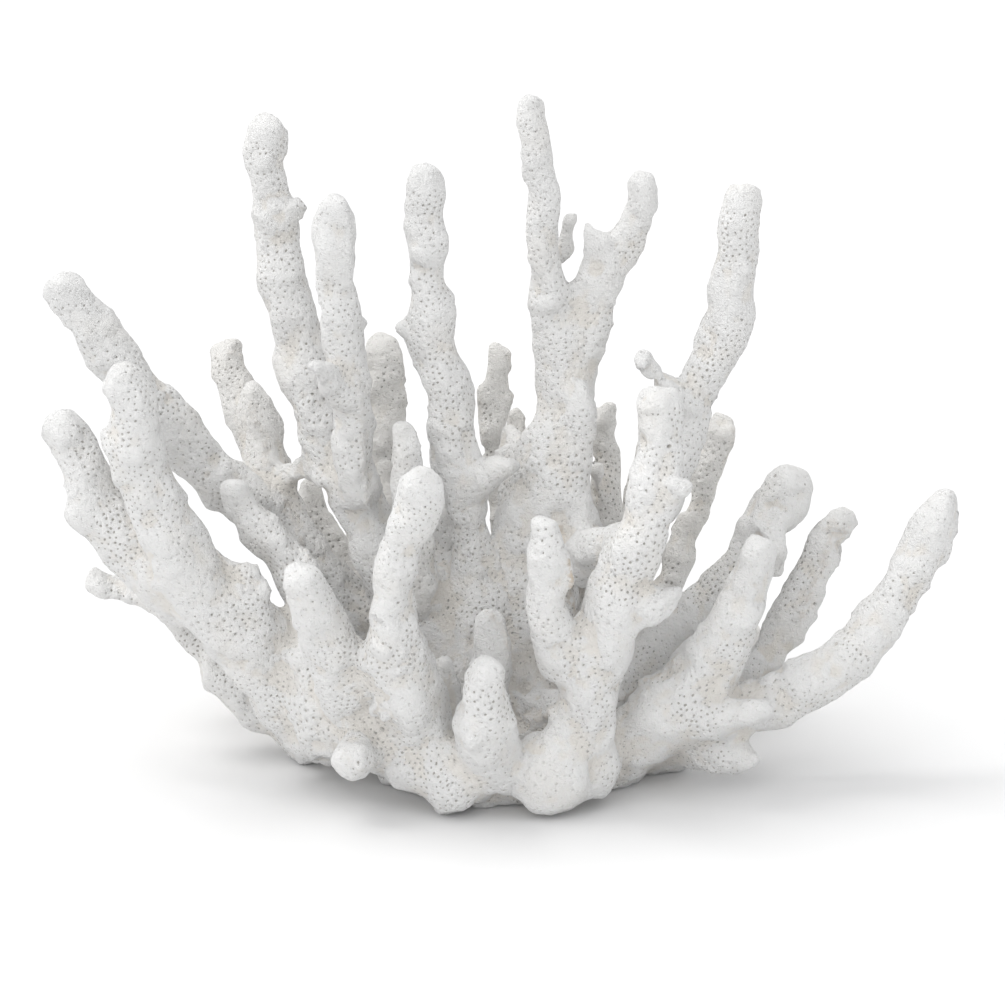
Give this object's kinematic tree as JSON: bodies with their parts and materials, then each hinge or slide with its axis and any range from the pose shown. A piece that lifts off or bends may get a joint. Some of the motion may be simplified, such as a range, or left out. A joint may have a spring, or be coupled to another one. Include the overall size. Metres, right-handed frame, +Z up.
{
  "type": "branching coral",
  "caption": "White branching coral colony with long lumpy finger-like branches on a low base, cut flat underneath to stand on a shelf.",
  "frame": {"origin": "middle of the flat face that the colony rests on, on the surface it stands on", "axes": "+X to the right seen from the front, +Y away from the viewer, +Z up"},
  "size_m": [0.3339, 0.1901, 0.2514],
  "materials": {
    "white_coral": "matte, chalky, finely grained"
  },
  "bodies": {
    "root": {"base": "white_coral", "centre_trunk": "white_coral", "tallest_branch": "white_coral", "tall_right_fork": "white_coral", "behind_trunk_branch": "white_coral", "thin_back_branch": "white_coral", "centre_left_branch": "white_coral", "left_tall_branch": "white_coral", "left_tall_front_fork": "white_coral", "behind_left_tall_branch": "white_coral", "centre_stub": "white_coral", "front_left_branch": "white_coral", "front_left_stub": "white_coral", "left_branch": "white_coral", "left_outer_branch": "white_coral", "left_outer_spur": "white_coral", "left_low_branch": "white_coral", "left_long_branch": "white_coral", "left_back_fork": "white_coral", "left_inner_branch": "white_coral", "left_back_branch": "white_coral", "front_centre_stub": "white_coral", "front_inner_blade": "white_coral", "front_right_branch": "white_coral", "front_right_prong": "white_coral", "right_tall_branch": "white_coral", "right_back_branch": "white_coral", "right_upper_branch": "white_coral", "right_branch": "white_coral", "right_blade": "white_coral", "far_right_branch": "white_coral", "rear_left_branch": "white_coral", "rear_left_fork": "white_coral", "rear_tall_branch": "white_coral", "rear_low_branch": "white_coral", "rear_centre_branch": "white_coral", "rear_trunk_branch": "white_coral", "rear_right_branch": "white_coral", "rear_right_low_branch": "white_coral"}
  },
  "joints": []
}
